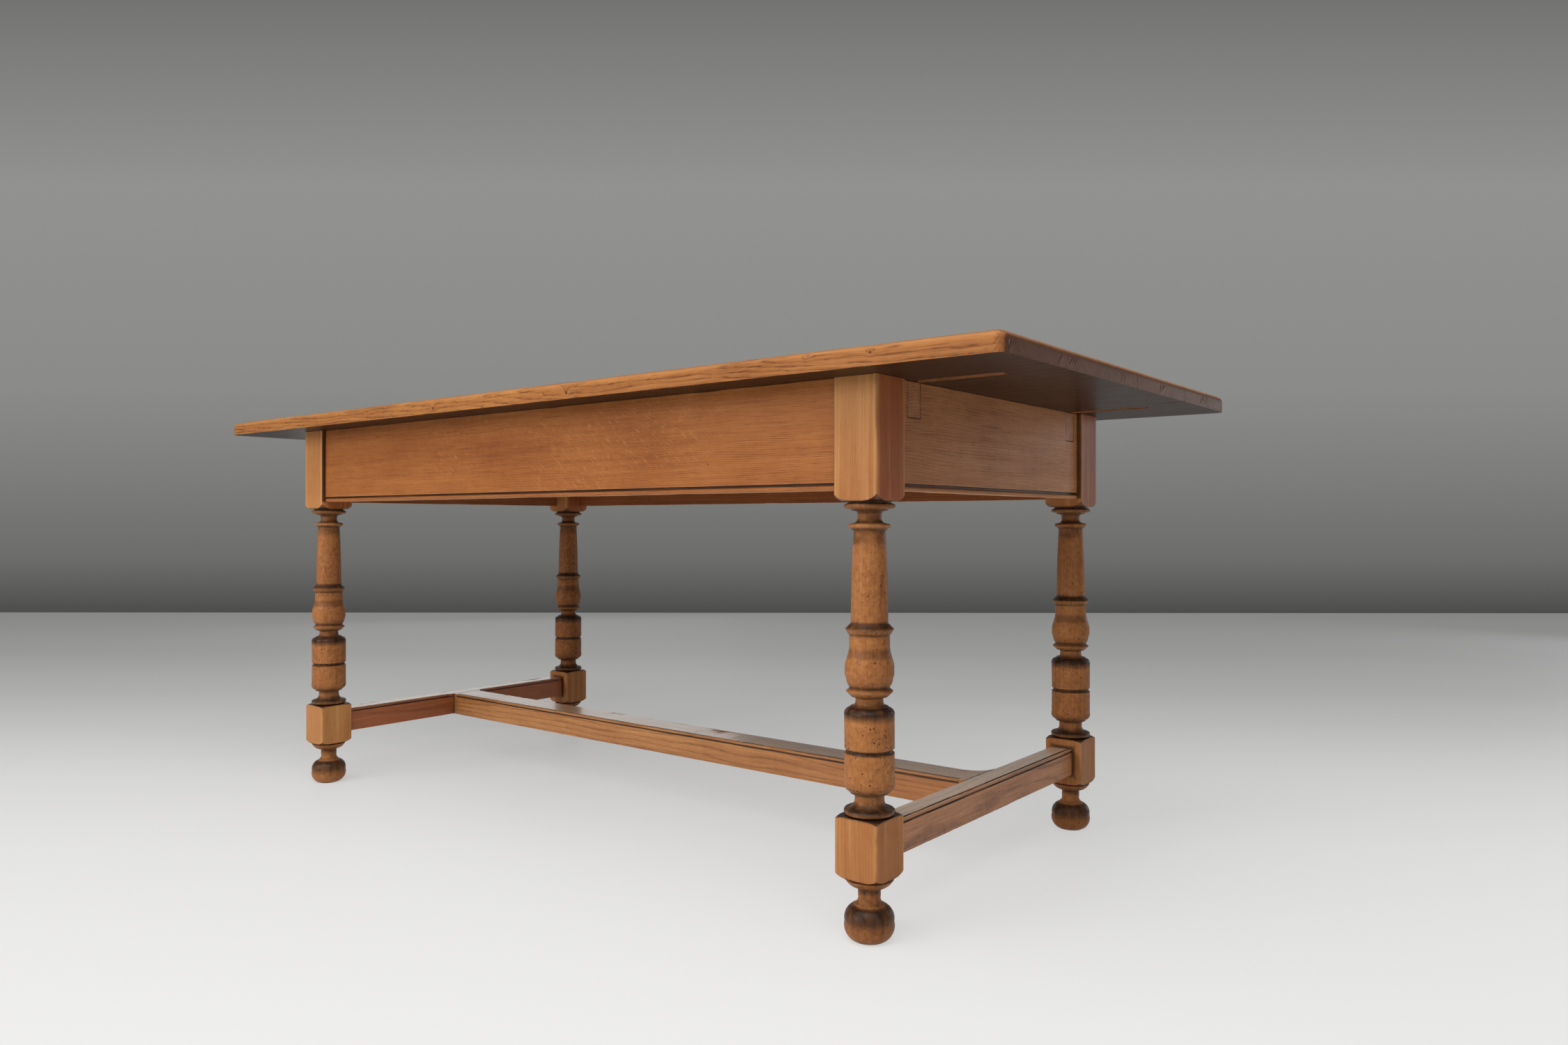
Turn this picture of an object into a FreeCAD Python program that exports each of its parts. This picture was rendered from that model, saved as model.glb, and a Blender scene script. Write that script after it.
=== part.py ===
import math
import os

import FreeCAD, Part
from FreeCAD import Vector

# An oak farmhouse dining table on turned legs with an H stretcher, and four
# lopers that pull out of its ends to carry loose leaves.
# Millimetres. X runs along the table, Y across it, Z up. The origin is on the
# floor under the middle of the table.

# Overall sizes
table_length = 1836.0
table_width = 830.0
table_height = 760.0
end_overhang = 203.0
side_overhang = 58.0

# Allowances
overrun = 5.0
joint_clearance = 0.2
slide_clearance = 0.3
tenon_end_clearance = 1.0

# Top
top_thickness = 27.0
top_corner_radius = 14.0
top_edge_radius = 11.0
board_count = 4
tongue_thickness = 5.0
tongue_width = 20.0
tongue_stop = 60.0

# Legs
leg_width = 68.0
lower_block_width = 66.0
leg_arris_radius = 3.0
foot_height = 83.0
lower_block_height = 80.0
upper_block_height = 161.0
lower_shoulder_height = 12.5
middle_shoulder_height = 10.0
upper_shoulder_height = 17.0

# Aprons
apron_height = 147.0
apron_thickness = 22.0
apron_setback = 7.0
apron_bead_radius = 3.4
apron_quirk = 3.2
apron_tenon_thickness = 10.0
apron_tenon_height = 96.0
apron_tenon_drop = 25.0
apron_tenon_length = 30.0
button_groove_height = 8.0
button_groove_depth = 9.0
button_groove_drop = 12.0

# Stretchers
stretcher_height = 46.0
stretcher_bottom = 102.5
end_stretcher_width = 36.0
centre_stretcher_width = 63.0
stretcher_bead_radius = 2.3
stretcher_quirk = 2.0
bead_stop = 12.0
right_cove_radius = 34.0
left_cove_radius = 12.0
cove_feather = 1.5
stretcher_tenon_thickness = 12.0
stretcher_tenon_height = 28.0
stretcher_tenon_length = 30.0
centre_tenon_width = 40.0
centre_tenon_length = 16.0

# Lopers
loper_width = 31.5
loper_height = 48.0
loper_leg_gap = 17.45
loper_inner_end = 6.0
loper_arris = 1.0
stop_peg_radius = 9.0
stop_peg_projection = 4.5
stop_peg_depth = 22.0
stop_peg_setback = 318.0
stop_groove_width = 22.0
stop_groove_depth = 6.0
stop_groove_end_setback = 74.0

# Cross bearers
bearer_height = 70.0
end_bearer_width = 26.0
end_bearer_setback = 174.0
centre_bearer_width = 60.0
bearer_tenon_length = 8.0
bearer_tenon_shoulder = 10.0

# Buttons that hold the top
button_length = 36.0
button_width = 28.0
button_height = 22.0
button_tongue_length = 7.0
button_tongue_height = 7.0
side_button_spacing = 300.0
side_button_step_shares = (-1.5, -0.5, 0.5, 1.5)
end_button_axis_y = 90.0

# Screws
screw_radius = 2.25
screw_head_radius = 4.6
screw_head_height = 3.0
screw_slot_width = 1.0
screw_slot_depth = 1.2
screw_bite = 14.0
bearer_screw_axis_y = 130.0
bearer_counterbore = 46.0

# Outlines of the turning, upwards: height share, radius share of half the leg
# width, and bulge of the stretch above as a share of its chord.
foot_shares = [
    (0.000, 0.603, 0.190),
    (0.300, 0.958, 0.190),
    (0.555, 0.608, 0.000),
    (0.570, 0.569, -0.170),
    (0.700, 0.443, 0.000),
    (0.785, 0.443, -0.180),
    (0.835, 0.524, 0.000),
    (0.840, 0.593, 0.100),
    (0.945, 0.919, 0.350),
    (0.982, 0.919, 0.000),
    (0.988, 0.810, 0.000),
    (1.000, 0.810, 0.000),
]
shaft_shares = [
    (0.0000, 0.829, 0.000),
    (0.0040, 0.914, 0.250),
    (0.0210, 0.954, 0.000),
    (0.0230, 0.894, -0.220),
    (0.0500, 0.576, 0.000),
    (0.0610, 0.576, -0.200),
    (0.0700, 0.684, 0.000),
    (0.0705, 0.754, 0.000),
    (0.0760, 0.764, 0.220),
    (0.1050, 0.974, 0.000),
    (0.1990, 0.974, 0.000),
    (0.2025, 0.909, 0.000),
    (0.2105, 0.909, 0.000),
    (0.2140, 0.974, 0.000),
    (0.3190, 0.974, 0.220),
    (0.3420, 0.784, 0.000),
    (0.3425, 0.729, 0.000),
    (0.3465, 0.741, -0.200),
    (0.3605, 0.538, 0.000),
    (0.3690, 0.538, -0.200),
    (0.3770, 0.632, 0.000),
    (0.3780, 0.708, 0.000),
    (0.3920, 0.883, 0.350),
    (0.3985, 0.883, 0.000),
    (0.4055, 0.778, 0.000),
    (0.4095, 0.788, 0.080),
    (0.4360, 0.908, 0.070),
    (0.4610, 0.954, 0.060),
    (0.5000, 0.880, -0.050),
    (0.5500, 0.785, 0.000),
    (0.5760, 0.782, 0.000),
    (0.5775, 0.835, 0.000),
    (0.5905, 0.916, 0.300),
    (0.5960, 0.916, 0.000),
    (0.6100, 0.747, 0.000),
    (0.6120, 0.721, 0.007),
    (0.9055, 0.615, 0.000),
    (0.9085, 0.676, 0.000),
    (0.9135, 0.724, 0.500),
    (0.9290, 0.724, 0.000),
    (0.9305, 0.665, -0.220),
    (0.9455, 0.467, 0.000),
    (0.9545, 0.467, -0.200),
    (0.9690, 0.588, 0.000),
    (0.9700, 0.706, 0.000),
    (0.9740, 0.724, 0.000),
    (0.9770, 0.917, 0.350),
    (0.9920, 0.936, 0.000),
    (0.9945, 0.841, 0.000),
    (1.0000, 0.841, 0.000),
]
lower_shoulder_share = 0.950
middle_shoulder_share = 1.074
upper_shoulder_share = 1.062
block_reach_share = 1.450
shoulder_bulge_share = 0.160
half_circle_share = 0.5
quarter_circle_share = math.tan(math.radians(90 / 4)) / 2

# Places that follow from the sizes
underside = table_height - top_thickness
lower_block_top = foot_height + lower_block_height
upper_block_bottom = underside - upper_block_height
shaft_length = upper_block_bottom - lower_block_top
half_leg = leg_width / 2
half_lower_block = lower_block_width / 2
leg_axis_x = table_length / 2 - end_overhang - half_leg
leg_axis_y = table_width / 2 - side_overhang - half_leg
apron_bottom = underside - apron_height
side_apron_outer = leg_axis_y + half_leg - apron_setback
side_apron_inner = side_apron_outer - apron_thickness
end_apron_outer = leg_axis_x + half_leg - apron_setback
end_apron_inner = end_apron_outer - apron_thickness
side_apron_shoulder = leg_axis_x - half_leg
end_apron_shoulder = leg_axis_y - half_leg
stretcher_top = stretcher_bottom + stretcher_height
stretcher_shoulder = leg_axis_y - half_lower_block
end_stretcher_inner = leg_axis_x - end_stretcher_width / 2
bead_reach = stretcher_bead_radius * 2 + stretcher_quirk
loper_axis_y = end_apron_shoulder - loper_leg_gap - loper_width / 2
loper_top = underside - slide_clearance
loper_bottom = loper_top - loper_height
loper_bed = loper_bottom - slide_clearance
stop_peg_axis_x = end_apron_outer - stop_peg_setback
stop_groove_end_x = table_length / 2 - stop_groove_end_setback
end_bearer_axis_x = end_apron_inner - end_bearer_setback
bearer_bottom = underside - bearer_height

upwards = Vector(0, 0, 1)
lengthways = Vector(1, 0, 0)
crossways = Vector(0, 1, 0)
origin = Vector(0, 0, 0)
angular_slack = 0.001
sides = {"front": -1, "back": 1}
ends = {"left": -1, "right": 1}


def edges_along(shape, direction):
    """The straight edges that run along a direction."""
    return [edge for edge in shape.Edges if edge.tangentAt(0).isEqual(direction, angular_slack)
            or edge.tangentAt(0).isEqual(-direction, angular_slack)]


def block(low, high):
    """A box between two opposite corners."""
    size = high - low
    return Part.makeBox(size.x, size.y, size.z, low)


def rod(foot, radius, height):
    """An upright round bar."""
    return Part.makeCylinder(radius, height, foot)


def turned_to(shape, angle):
    """A copy turned about the upright axis through the origin."""
    copy = shape.copy()
    copy.rotate(origin, upwards, angle)
    return copy


def mirrored(shape, sign_x, sign_y):
    """A copy brought to the quarter of the table with these signs."""
    copy = shape
    if sign_x < 0:
        copy = copy.mirror(origin, lengthways)
    if sign_y < 0:
        copy = copy.mirror(origin, crossways)
    return copy


def outline_face(points, to_space):
    """A face inside points of (across, up, bulge), with arcs where bulge is not zero."""
    edges = []
    for index, (across, up, bulge) in enumerate(points):
        next_across, next_up, _ = points[(index + 1) % len(points)]
        start = to_space(across, up)
        end = to_space(next_across, next_up)
        if bulge == 0:
            edges.append(Part.LineSegment(start, end).toShape())
            continue
        middle_across = (across + next_across) / 2 + (next_up - up) * bulge
        middle_up = (up + next_up) / 2 - (next_across - across) * bulge
        middle = to_space(middle_across, middle_up)
        edges.append(Part.Arc(start, middle, end).toShape())
    return Part.Face(Part.Wire(edges))


def export(name, shape):
    """Write one node after a check that its solids are sound."""
    if not shape.isValid():
        raise ValueError(name + " is not a valid shape")
    shape.exportStep("parts/" + name + ".step")
    print(name, len(shape.Solids), round(shape.Volume))


# Top: boards glued edge to edge, with loose tongues in the joints

def make_top_slab():
    half = Vector(table_length / 2, table_width / 2, 0)
    low = Vector(-half.x, -half.y, underside)
    slab = block(low, Vector(half.x, half.y, table_height))
    slab = slab.makeFillet(top_corner_radius, edges_along(slab, upwards))
    upper = [edge for edge in slab.Edges if edge.BoundBox.ZMin > table_height - top_thickness / 2]
    return slab.makeFillet(top_edge_radius, upper)


def joint_positions():
    board_width = table_width / board_count
    return [board_width * step - table_width / 2 for step in range(1, board_count)]


def make_tongue(y, clearance):
    reach = Vector(table_length / 2 - tongue_stop, tongue_width / 2, tongue_thickness / 2)
    reach = reach + Vector(clearance, clearance, clearance)
    middle = Vector(0, y, underside + top_thickness / 2)
    return block(middle - reach, middle + reach)


def make_boards(screw_holes):
    slab = make_top_slab()
    grooves = [make_tongue(y, joint_clearance) for y in joint_positions()]
    stop_groove = make_stop_groove()
    grooves += [mirrored(stop_groove, x, y) for x in ends.values() for y in sides.values()]
    slab = slab.cut(grooves + screw_holes)
    limits = [-table_width / 2 - overrun] + joint_positions() + [table_width / 2 + overrun]
    reach_x = table_length / 2 + overrun
    boards = []
    for y_low, y_high in zip(limits, limits[1:]):
        low = Vector(-reach_x, y_low, underside - overrun)
        strip = block(low, Vector(reach_x, y_high, table_height + overrun))
        boards.append(slab.common(strip))
    return boards


# Legs: one turning each, cut square at its two blocks

def scaled_outline(shares, bottom, height):
    return [(radius * half_leg, bottom + up * height, bulge) for up, radius, bulge in shares]


def leg_outline():
    block_reach = block_reach_share * half_leg
    points = [(0, 0, 0)]
    points += scaled_outline(foot_shares, 0, foot_height)
    points += [
        (lower_shoulder_share * half_leg, foot_height, shoulder_bulge_share),
        (block_reach, foot_height + lower_shoulder_height, 0),
        (block_reach, lower_block_top - middle_shoulder_height, shoulder_bulge_share),
        (middle_shoulder_share * half_leg, lower_block_top, 0),
    ]
    points += scaled_outline(shaft_shares, lower_block_top, shaft_length)
    points += [
        (upper_shoulder_share * half_leg, upper_block_bottom, shoulder_bulge_share),
        (block_reach, upper_block_bottom + upper_shoulder_height, 0),
        (block_reach, underside, 0),
        (0, underside, 0),
    ]
    return points


leg_spans = [
    (0, foot_height, half_leg),
    (foot_height, lower_block_top, half_lower_block),
    (lower_block_top, underside, half_leg),
]


def make_leg():
    """The leg of the quarter where X and Y are positive."""
    face = outline_face(leg_outline(), lambda radius, up: Vector(radius, 0, up))
    turning = face.revolve(origin, upwards, 360)
    blanks = []
    for bottom, top, half in leg_spans:
        blank = block(Vector(-half, -half, bottom), Vector(half, half, top))
        blanks.append(blank.makeFillet(leg_arris_radius, edges_along(blank, upwards)))
    leg = turning.common(blanks[0].fuse(blanks[1:]))
    leg.translate(Vector(leg_axis_x, leg_axis_y, 0))
    tenons = [make_side_tenon(joint_clearance), make_end_tenon(joint_clearance)]
    tenons.append(make_stretcher_tenon(joint_clearance))
    return leg.cut(tenons).Solids[0]


# Aprons

def apron_tenon_limits(clearance):
    top = underside - apron_tenon_drop + clearance
    return top - apron_tenon_height - clearance * 2, top


def make_side_tenon(clearance):
    """The right tenon of the back apron, or with clearance its mortise."""
    low_z, high_z = apron_tenon_limits(clearance)
    middle = side_apron_outer - apron_thickness / 2
    half = apron_tenon_thickness / 2 + clearance
    end = side_apron_shoulder + apron_tenon_length
    if clearance > 0:
        end += tenon_end_clearance
    return block(Vector(side_apron_shoulder, middle - half, low_z), Vector(end, middle + half, high_z))


def make_end_tenon(clearance):
    """The back tenon of the right apron, or with clearance its mortise."""
    low_z, high_z = apron_tenon_limits(clearance)
    middle = end_apron_outer - apron_thickness / 2
    half = apron_tenon_thickness / 2 + clearance
    end = end_apron_shoulder + apron_tenon_length
    if clearance > 0:
        end += tenon_end_clearance
    return block(Vector(middle - half, end_apron_shoulder, low_z), Vector(middle + half, end, high_z))


def apron_outline():
    """Depth in from the outer face and height, with the bead at the bottom edge."""
    bead = apron_bead_radius
    quirk_top = apron_bottom + bead * 2 + apron_quirk
    groove_top = underside - button_groove_drop
    groove_bottom = groove_top - button_groove_height
    return [
        (apron_thickness, apron_bottom, 0),
        (bead, apron_bottom, -half_circle_share),
        (bead, apron_bottom + bead * 2, 0),
        (bead, quirk_top, 0),
        (0, quirk_top, 0),
        (0, underside, 0),
        (apron_thickness, underside, 0),
        (apron_thickness, groove_top, 0),
        (apron_thickness - button_groove_depth, groove_top, 0),
        (apron_thickness - button_groove_depth, groove_bottom, 0),
        (apron_thickness, groove_bottom, 0),
    ]


def make_back_apron():
    shoulder = side_apron_shoulder
    face = outline_face(apron_outline(), lambda depth, up: Vector(-shoulder, side_apron_outer - depth, up))
    apron = face.extrude(Vector(shoulder * 2, 0, 0))
    tenon = make_side_tenon(0)
    apron = apron.fuse([tenon, mirrored(tenon, -1, 1)]).removeSplitter()
    housings = [make_bearer_tenon(axis, width, joint_clearance) for axis, width in bearers.values()]
    return apron.cut(housings).Solids[0]


def make_right_apron():
    shoulder = end_apron_shoulder
    face = outline_face(apron_outline(), lambda depth, up: Vector(end_apron_outer - depth, -shoulder, up))
    apron = face.extrude(Vector(0, shoulder * 2, 0))
    tenon = make_end_tenon(0)
    apron = apron.fuse([tenon, mirrored(tenon, 1, -1)]).removeSplitter()
    notch = make_loper_passage(end_apron_inner - overrun, end_apron_outer + overrun)
    return apron.cut([notch, mirrored(notch, 1, -1)]).Solids[0]


# Stretchers

def make_stretcher_tenon(clearance):
    """The back tenon of the right stretcher, or with clearance its mortise."""
    middle_z = stretcher_bottom + stretcher_height / 2
    half_z = stretcher_tenon_height / 2 + clearance
    half_x = stretcher_tenon_thickness / 2 + clearance
    end = stretcher_shoulder + stretcher_tenon_length
    if clearance > 0:
        end += tenon_end_clearance
    low = Vector(leg_axis_x - half_x, stretcher_shoulder, middle_z - half_z)
    return block(low, Vector(leg_axis_x + half_x, end, middle_z + half_z))


def make_centre_tenon(clearance):
    """The right tenon of the centre stretcher, or with clearance its mortise."""
    middle_z = stretcher_bottom + stretcher_height / 2
    half_z = stretcher_tenon_thickness / 2 + clearance
    half_y = centre_tenon_width / 2 + clearance
    end = end_stretcher_inner + centre_tenon_length
    if clearance > 0:
        end += tenon_end_clearance
    low = Vector(end_stretcher_inner, -half_y, middle_z - half_z)
    return block(low, Vector(end, half_y, middle_z + half_z))


def make_bead_cut(length):
    """What is cut away along X to leave a bead on the top front arris of a bar."""
    bead = stretcher_bead_radius
    wide = block(Vector(0, -overrun, -bead), Vector(length, bead_reach, overrun))
    deep = block(Vector(0, -overrun, -bead_reach), Vector(length, bead, overrun))
    round_bar = Part.makeCylinder(bead, length, Vector(0, bead, -bead), lengthways)
    return wide.fuse(deep).cut(round_bar)


def make_end_stretcher(end):
    """An end stretcher with the bead on its right edge, stopped beside a joint on that edge."""
    middle = ends[end] * leg_axis_x
    half = end_stretcher_width / 2
    low = Vector(middle - half, -stretcher_shoulder, stretcher_bottom)
    bar = block(low, Vector(middle + half, stretcher_shoulder, stretcher_top))
    tenon = mirrored(make_stretcher_tenon(0), ends[end], 1)
    bar = bar.fuse([tenon, mirrored(tenon, 1, -1)]).removeSplitter()
    stop = 0
    if end == "left":
        stop = centre_stretcher_width / 2 + bead_stop
    run = make_bead_cut(stretcher_shoulder - stop)
    cuts = [mirrored(make_centre_tenon(joint_clearance), ends[end], 1)]
    for start in (-stretcher_shoulder, stop):
        cuts.append(placed(run, Vector(middle + half, start, stretcher_top), 90))
    return bar.cut(cuts).Solids[0]


def make_cove(radius):
    """The hollow corner behind the right end of the centre stretcher."""
    corner_y = centre_stretcher_width / 2
    feather_end = corner_y + radius + cove_feather
    points = [
        (end_stretcher_inner, corner_y, 0),
        (end_stretcher_inner, feather_end, 0),
        (end_stretcher_inner - cove_feather, feather_end, -quarter_circle_share),
        (end_stretcher_inner - cove_feather - radius, corner_y + cove_feather, 0),
        (end_stretcher_inner - cove_feather - radius, corner_y, 0),
    ]
    face = outline_face(points, lambda x, y: Vector(x, y, stretcher_bottom))
    return face.extrude(Vector(0, 0, stretcher_height))


def make_centre_stretcher():
    half = centre_stretcher_width / 2
    reach = end_stretcher_inner
    bar = block(Vector(-reach, -half, stretcher_bottom), Vector(reach, half, stretcher_top))
    tenon = make_centre_tenon(0)
    left_cove = mirrored(make_cove(left_cove_radius), -1, 1)
    bar = bar.fuse([tenon, mirrored(tenon, -1, 1), make_cove(right_cove_radius), left_cove])
    run = make_bead_cut((reach - bead_stop) * 2)
    run.translate(Vector(bead_stop - reach, -half, stretcher_top))
    return bar.removeSplitter().cut(run).Solids[0]


# Lopers and the bearers that guide them

def make_loper_passage(x_low, x_high):
    """The open notch round the back right loper between two places along the table."""
    half = loper_width / 2 + slide_clearance
    low = Vector(x_low, loper_axis_y - half, loper_bed)
    return block(low, Vector(x_high, loper_axis_y + half, underside + overrun))


def make_loper():
    half = loper_width / 2
    low = Vector(loper_inner_end, loper_axis_y - half, loper_bottom)
    loper = block(low, Vector(end_apron_outer, loper_axis_y + half, loper_top))
    loper = loper.makeChamfer(loper_arris, edges_along(loper, lengthways))
    return loper.cut(make_stop_peg(joint_clearance))


def make_stop_peg(clearance):
    """The peg that stands out of the loper's top, or with clearance its hole."""
    foot = Vector(stop_peg_axis_x, loper_axis_y, loper_top - stop_peg_depth - clearance)
    peg = rod(foot, stop_peg_radius + clearance, stop_peg_depth + stop_peg_projection + clearance)
    if clearance > 0:
        return peg
    upper = [edge for edge in peg.Edges if edge.BoundBox.ZMin > loper_top]
    return peg.makeChamfer(loper_arris, upper)


def make_stop_groove():
    """The round-ended groove under the top in which the back right peg runs."""
    half = stop_groove_width / 2
    first = stop_peg_axis_x - stop_peg_radius - slide_clearance + half
    last = stop_groove_end_x - half
    foot = Vector(first, loper_axis_y, underside - overrun)
    height = overrun + stop_groove_depth
    straight = Part.makeBox(last - first, stop_groove_width, height, foot - Vector(0, half, 0))
    return straight.fuse([rod(foot, half, height), rod(foot + Vector(last - first, 0, 0), half, height)])


bearers = {
    "left": (-end_bearer_axis_x, end_bearer_width),
    "centre": (0, centre_bearer_width),
    "right": (end_bearer_axis_x, end_bearer_width),
}


def make_bearer_tenon(axis_x, width, clearance):
    """The back tenon of a bearer, or with clearance its housing in the apron."""
    half = width / 2 - bearer_tenon_shoulder / 2 + clearance
    low_z = bearer_bottom + bearer_tenon_shoulder - clearance
    high_z = underside - bearer_tenon_shoulder + clearance
    end = side_apron_inner + bearer_tenon_length
    if clearance > 0:
        end += tenon_end_clearance
    return block(Vector(axis_x - half, side_apron_inner, low_z), Vector(axis_x + half, end, high_z))


def make_bearer(axis_x, width):
    half = width / 2
    low = Vector(axis_x - half, -side_apron_inner, bearer_bottom)
    bearer = block(low, Vector(axis_x + half, side_apron_inner, underside))
    tenon = make_bearer_tenon(axis_x, width, 0)
    bearer = bearer.fuse([tenon, mirrored(tenon, 1, -1)]).removeSplitter()
    notch = make_loper_passage(axis_x - half - overrun, axis_x + half + overrun)
    holes = [bearer_screw_space(axis_x, sign * bearer_screw_axis_y) for sign in (-1, 1)]
    return bearer.cut([notch, mirrored(notch, 1, -1)] + holes).Solids[0]


# Screws and buttons

def make_screw(x, y, head_bottom, clearance):
    """A slotted countersunk screw driven upwards, or with clearance its hole."""
    foot = Vector(x, y, head_bottom)
    head = Part.makeCone(screw_head_radius + clearance, screw_radius + clearance, screw_head_height, foot)
    length = underside + screw_bite - head_bottom + clearance
    screw = head.fuse(rod(foot, screw_radius + clearance, length)).removeSplitter()
    if clearance > 0:
        return screw
    half = screw_slot_width / 2
    low = Vector(x - screw_head_radius, y - half, head_bottom)
    high = Vector(x + screw_head_radius, y + half, head_bottom + screw_slot_depth)
    return screw.cut(block(low, high))


def bearer_screw_head():
    return bearer_bottom + bearer_counterbore


def bearer_screw_space(x, y):
    screw = make_screw(x, y, bearer_screw_head(), joint_clearance)
    foot = Vector(x, y, bearer_bottom - overrun)
    bore = rod(foot, screw_head_radius + joint_clearance, bearer_counterbore + overrun)
    return screw.fuse(bore)


def bearer_screw_places():
    return [(axis, sign * bearer_screw_axis_y) for axis, _ in bearers.values() for sign in (-1, 1)]


def button_places():
    """Middle of each button's groove side, and the turn that points its tongue outwards."""
    places = []
    for share in side_button_step_shares:
        for sign, turn in ((1, 90), (-1, -90)):
            place = Vector(share * side_button_spacing, sign * side_apron_inner, 0)
            places.append((place, turn))
    for sign, turn in ((1, 0), (-1, 180)):
        for side in (-1, 1):
            places.append((Vector(sign * end_apron_inner, side * end_button_axis_y, 0), turn))
    return places


def make_button():
    """A button whose tongue points along X from the apron's inner face at the origin."""
    half = button_width / 2
    low = Vector(-button_length - slide_clearance, -half, underside - button_height)
    body = block(low, Vector(-slide_clearance, half, underside))
    tongue_top = underside - button_groove_drop
    tongue_low = Vector(-slide_clearance, -half, tongue_top - button_tongue_height)
    tongue = block(tongue_low, Vector(button_tongue_length, half, tongue_top))
    button = body.fuse(tongue).removeSplitter()
    return button.cut(make_screw(-button_length / 2, 0, underside - button_height, joint_clearance))


def placed(shape, place, turn):
    copy = turned_to(shape, turn)
    copy.translate(place)
    return copy


def write_all():
    os.makedirs("parts", exist_ok=True)
    button = make_button()
    button_screw = make_screw(-button_length / 2, 0, underside - button_height, 0)
    button_hole = make_screw(-button_length / 2, 0, underside - button_height, joint_clearance)
    buttons = [placed(button, place, turn) for place, turn in button_places()]
    button_screws = [placed(button_screw, place, turn) for place, turn in button_places()]
    holes = [placed(button_hole, place, turn) for place, turn in button_places()]
    bearer_screws = [make_screw(x, y, bearer_screw_head(), 0) for x, y in bearer_screw_places()]
    holes += [make_screw(x, y, bearer_screw_head(), joint_clearance) for x, y in bearer_screw_places()]

    for number, board in enumerate(make_boards(holes), start=1):
        export("top_board_" + str(number), board)
    export("top_tongues", Part.Compound([make_tongue(y, 0) for y in joint_positions()]))
    export("top_buttons", Part.Compound(buttons))
    export("button_screws", Part.Compound(button_screws))
    export("bearer_screws", Part.Compound(bearer_screws))

    leg = make_leg()
    loper = make_loper()
    stop_peg = make_stop_peg(0)
    side_apron = make_back_apron()
    end_apron = make_right_apron()
    for side, sign_y in sides.items():
        export("apron_" + side, mirrored(side_apron, 1, sign_y))
        for end, sign_x in ends.items():
            export("leg_" + side + "_" + end, mirrored(leg, sign_x, sign_y))
            export("loper_" + side + "_" + end, mirrored(loper, sign_x, sign_y))
            export("stop_peg_" + side + "_" + end, mirrored(stop_peg, sign_x, sign_y))
    for end, sign_x in ends.items():
        export("apron_" + end, mirrored(end_apron, sign_x, 1))
        export("stretcher_" + end, make_end_stretcher(end))
    export("stretcher_centre", make_centre_stretcher())
    for name, (axis_x, width) in bearers.items():
        export("bearer_" + name, make_bearer(axis_x, width))
    print("loper travel", stop_groove_end_x - slide_clearance - stop_peg_radius - stop_peg_axis_x)


write_all()
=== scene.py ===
import math
import random

import bmesh
import bpy
from mathutils import Matrix, Vector, noise


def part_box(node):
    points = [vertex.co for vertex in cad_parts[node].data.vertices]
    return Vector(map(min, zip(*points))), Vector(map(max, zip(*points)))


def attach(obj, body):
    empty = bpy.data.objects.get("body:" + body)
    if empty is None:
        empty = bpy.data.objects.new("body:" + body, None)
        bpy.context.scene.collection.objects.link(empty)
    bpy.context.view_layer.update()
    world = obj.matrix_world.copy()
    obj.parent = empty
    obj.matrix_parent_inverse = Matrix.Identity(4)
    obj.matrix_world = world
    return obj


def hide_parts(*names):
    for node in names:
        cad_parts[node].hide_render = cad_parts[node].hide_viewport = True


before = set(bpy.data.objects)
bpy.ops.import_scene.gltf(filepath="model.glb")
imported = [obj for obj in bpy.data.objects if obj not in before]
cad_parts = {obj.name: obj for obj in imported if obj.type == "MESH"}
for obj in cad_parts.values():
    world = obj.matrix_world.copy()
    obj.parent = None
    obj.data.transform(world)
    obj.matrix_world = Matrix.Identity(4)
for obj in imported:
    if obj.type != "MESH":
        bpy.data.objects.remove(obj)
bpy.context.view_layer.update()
print("frame loaded")


# Shader maths

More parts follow.
